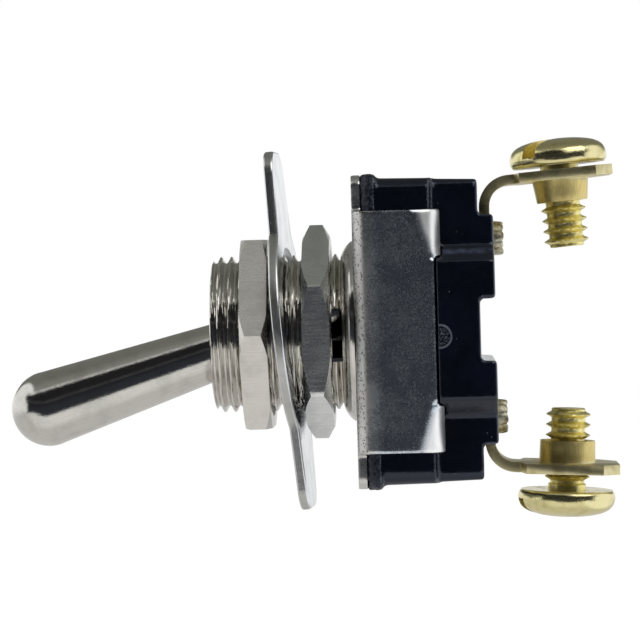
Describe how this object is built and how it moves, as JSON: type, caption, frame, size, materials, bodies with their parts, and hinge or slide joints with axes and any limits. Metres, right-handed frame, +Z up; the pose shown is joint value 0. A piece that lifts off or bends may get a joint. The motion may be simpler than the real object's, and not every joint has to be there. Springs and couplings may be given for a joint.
{
  "type": "panel toggle switch",
  "caption": "Heavy-duty single-pole panel toggle switch: bat lever, threaded bushing with nuts and indicator plate, framed moulded case, screw terminals.",
  "frame": {"origin": "on the bushing's axis, at the front face of the mounting frame, where the bushing's shoulder seats", "axes": "-X out along the bushing towards the lever, +X towards the screw terminals, +Z up in the plane the lever swings in, Y across the case"},
  "size_m": [0.0464, 0.0172, 0.0289],
  "materials": {
    "nickel_plate": "bright nickel plate over brass, fine turning lines and light handling marks",
    "frame_plate": "bright plated mild steel sheet, grainy where it is bent",
    "phenolic": "glossy moulded phenolic, very dark blue-black, rough at the rim",
    "terminal_brass": "stamped brass strip, dull olive tone",
    "rivet_brass": "brownish brass, rough from setting",
    "screw_brass": "bright yellow passivated screws, rolled thread",
    "spring_steel": "drawn spring wire",
    "pin_steel": "ground steel",
    "contact_brass": "spring-temper contact strip",
    "silver": "fine silver contact face, matte",
    "fibre": "vulcanised fibre card"
  },
  "bodies": {
    "switch_body": {"bushing": "nickel_plate", "indicator_plate": "nickel_plate", "mounting_frame": "frame_plate", "case": "phenolic", "insulating_liner": "fibre", "fulcrum_strap": "contact_brass", "fixed_contact": "contact_brass", "fixed_button": "silver", "terminal_upper": "terminal_brass", "terminal_lower": "terminal_brass", "rivet_upper": "rivet_brass", "rivet_lower": "rivet_brass"},
    "lever": {"lever": "nickel_plate", "pivot_pin": "pin_steel", "lever_spring": "spring_steel"},
    "plunger": {"plunger": "contact_brass"},
    "rocker": {"rocker_contact": "contact_brass", "rocker_button": "silver"},
    "front_nut": {"front_nut": "nickel_plate"},
    "back_nut": {"back_nut": "nickel_plate"},
    "screw_upper": {"terminal_screw_upper": "screw_brass"},
    "screw_lower": {"terminal_screw_lower": "screw_brass"}
  },
  "joints": [
    {"name": "lever_swing", "type": "hinge", "parent": "switch_body", "child": "lever", "pos_m": [-0.0067, 0, 0], "axis": [0, 1, 0], "range_deg": [0, 34.6]},
    {"name": "plunger_slide", "type": "slide", "parent": "lever", "child": "plunger", "axis": [-0.9548, 0, -0.2974], "range_m": [0, 0.0006], "stiffness_N_per_m": 300, "deforming": ["lever_spring"]},
    {"name": "rocker_swing", "type": "hinge", "parent": "switch_body", "child": "rocker", "pos_m": [0.0055, 0, 0], "axis": [0, 1, 0], "range_deg": [-16.1, 0]},
    {"name": "front_nut_travel", "type": "slide", "parent": "switch_body", "child": "front_nut", "axis": [-1, 0, 0], "range_m": [0, 0.0023]},
    {"name": "back_nut_turn", "type": "hinge", "parent": "switch_body", "child": "back_nut", "pos_m": [-0.003, 0, 0], "axis": [-1, 0, 0], "range_deg": [0, 90]},
    {"name": "screw_upper_travel", "type": "slide", "parent": "switch_body", "child": "screw_upper", "axis": [-0.0785, 0, 0.9969], "range_m": [-0.00033, 0.004]},
    {"name": "screw_lower_travel", "type": "slide", "parent": "switch_body", "child": "screw_lower", "axis": [-0.0471, 0, -0.9989], "range_m": [-0.00133, 0.004]}
  ],
  "couplings": [
    {"joint": "rocker_swing", "follows": "lever_swing", "ratio": -0.46243}
  ]
}
